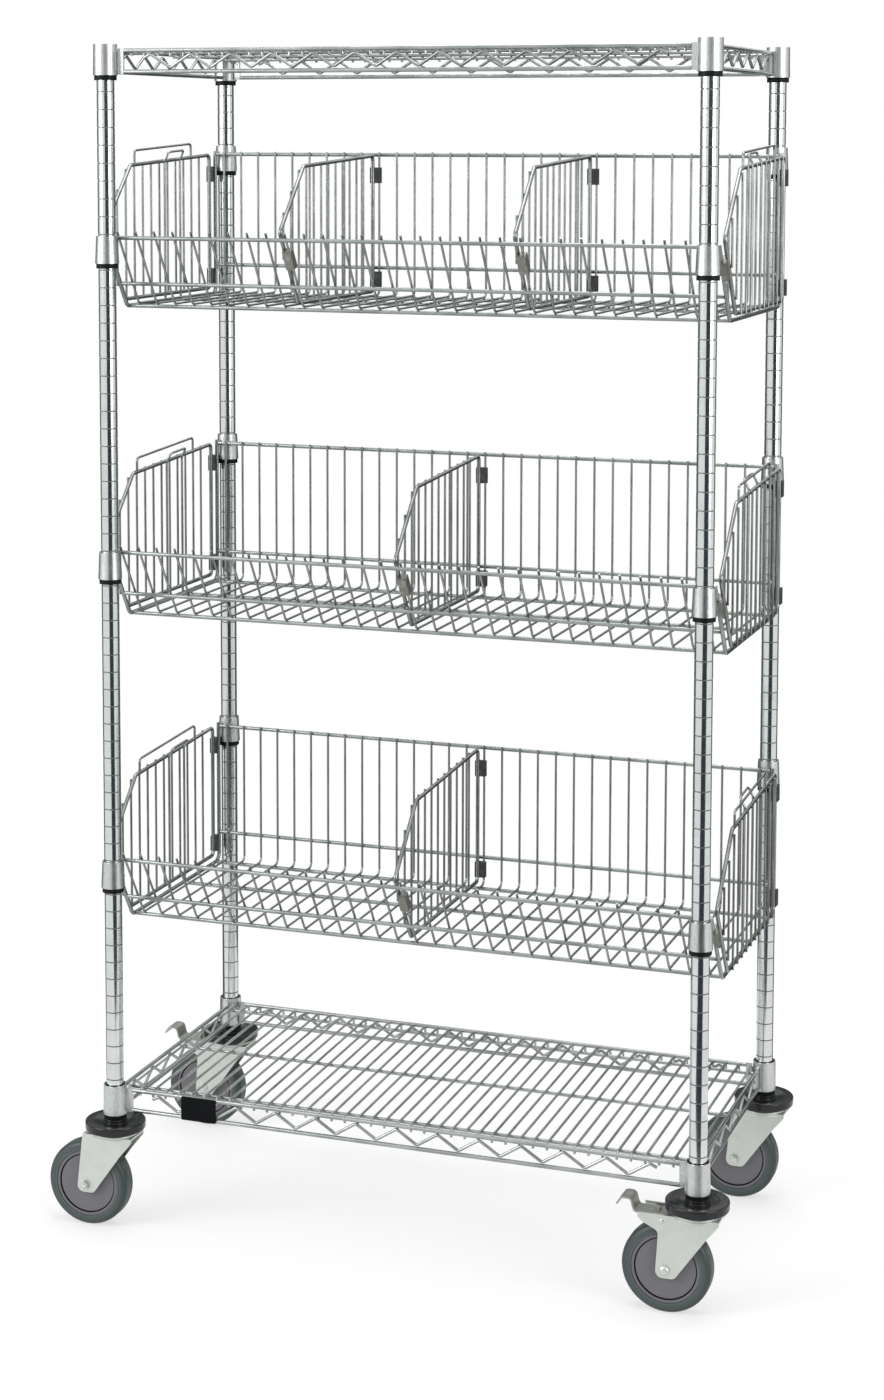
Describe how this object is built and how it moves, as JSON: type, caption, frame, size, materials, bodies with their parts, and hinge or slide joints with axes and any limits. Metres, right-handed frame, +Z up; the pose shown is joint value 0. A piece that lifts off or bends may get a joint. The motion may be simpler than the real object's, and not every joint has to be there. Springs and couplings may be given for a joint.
{
  "type": "mobile wire basket rack",
  "caption": "Wheeled wire rack with grooved posts, wire shelves, slant-fronted wire baskets with dividers, bumpers and braked swivel casters.",
  "frame": {"origin": "on the floor, midway between the four posts", "axes": "+Z up, +X to the right seen from the baskets' low front, front towards -Y"},
  "size_m": [1.0375, 0.5132, 1.74],
  "materials": {
    "chrome": "bright plated",
    "zinc": "zinc plated",
    "black_plastic": "satin black",
    "bumper": "matte grey",
    "hub": "grey moulded",
    "tyre": "non-marking slate grey"
  },
  "bodies": {
    "rack": {"basket_sleeves": "black_plastic", "bottom_shelf_collars": "chrome", "bottom_shelf_deck_wires": "chrome", "bottom_shelf_rails": "chrome", "bottom_shelf_sleeves": "black_plastic", "bottom_shelf_zigzags": "chrome", "bumpers": "bumper", "caster_stems": "zinc", "lower_basket_collars": "chrome", "lower_basket_dividers": "chrome", "lower_basket_end_panels": "chrome", "lower_basket_rails": "chrome", "lower_basket_side_frames": "chrome", "lower_basket_wires": "chrome", "middle_basket_collars": "chrome", "middle_basket_dividers": "chrome", "middle_basket_end_panels": "chrome", "middle_basket_rails": "chrome", "middle_basket_side_frames": "chrome", "middle_basket_wires": "chrome", "name_plate": "black_plastic", "panel_back_clips": "black_plastic", "panel_front_clips": "zinc", "post_back_left": "chrome", "post_back_right": "chrome", "post_caps": "black_plastic", "post_front_left": "chrome", "post_front_right": "chrome", "stem_sockets": "black_plastic", "swivel_balls": "zinc", "top_shelf_collars": "chrome", "top_shelf_deck_wires": "chrome", "top_shelf_rails": "chrome", "top_shelf_sleeves": "black_plastic", "top_shelf_zigzags": "chrome", "upper_basket_collars": "chrome", "upper_basket_dividers": "chrome", "upper_basket_end_panels": "chrome", "upper_basket_rails": "chrome", "upper_basket_side_frames": "chrome", "upper_basket_wires": "chrome"},
    "caster_front_left": {"axle_front_left": "zinc", "fork_front_left": "zinc"},
    "wheel_front_left": {"hub_front_left": "hub", "tyre_front_left": "tyre"},
    "caster_front_right": {"axle_front_right": "zinc", "fork_front_right": "zinc"},
    "wheel_front_right": {"hub_front_right": "hub", "tyre_front_right": "tyre"},
    "caster_back_left": {"axle_back_left": "zinc", "fork_back_left": "zinc"},
    "wheel_back_left": {"hub_back_left": "hub", "tyre_back_left": "tyre"},
    "caster_back_right": {"axle_back_right": "zinc", "fork_back_right": "zinc"},
    "wheel_back_right": {"hub_back_right": "hub", "tyre_back_right": "tyre"},
    "pedal_front_right": {"brake_pedal_front_right": "zinc"},
    "pedal_back_left": {"brake_pedal_back_left": "zinc"}
  },
  "joints": [
    {"name": "swivel_front_left", "type": "hinge", "parent": "rack", "child": "caster_front_left", "pos_m": [-0.4407, -0.2121, 0.142], "axis": [0, 0, 1], "continuous": true},
    {"name": "roll_front_left", "type": "hinge", "parent": "caster_front_left", "child": "wheel_front_left", "pos_m": [-0.4813, -0.2121, 0.0635], "axis": [0, 1, 0], "continuous": true},
    {"name": "swivel_front_right", "type": "hinge", "parent": "rack", "child": "caster_front_right", "pos_m": [0.4407, -0.2121, 0.142], "axis": [0, 0, 1], "continuous": true},
    {"name": "roll_front_right", "type": "hinge", "parent": "caster_front_right", "child": "wheel_front_right", "pos_m": [0.4001, -0.2121, 0.0635], "axis": [0, 1, 0], "continuous": true},
    {"name": "swivel_back_left", "type": "hinge", "parent": "rack", "child": "caster_back_left", "pos_m": [-0.4407, 0.2121, 0.142], "axis": [0, 0, 1], "continuous": true},
    {"name": "roll_back_left", "type": "hinge", "parent": "caster_back_left", "child": "wheel_back_left", "pos_m": [-0.4813, 0.2121, 0.0635], "axis": [0, 1, 0], "continuous": true},
    {"name": "swivel_back_right", "type": "hinge", "parent": "rack", "child": "caster_back_right", "pos_m": [0.4407, 0.2121, 0.142], "axis": [0, 0, 1], "continuous": true},
    {"name": "roll_back_right", "type": "hinge", "parent": "caster_back_right", "child": "wheel_back_right", "pos_m": [0.4001, 0.2121, 0.0635], "axis": [0, 1, 0], "continuous": true},
    {"name": "brake_front_right", "type": "hinge", "parent": "caster_front_right", "child": "pedal_front_right", "pos_m": [0.3961, -0.2121, 0.133], "axis": [0, 1, 0], "range_deg": [0, 8]},
    {"name": "brake_back_left", "type": "hinge", "parent": "caster_back_left", "child": "pedal_back_left", "pos_m": [-0.4853, 0.2121, 0.133], "axis": [0, 1, 0], "range_deg": [0, 8]}
  ]
}
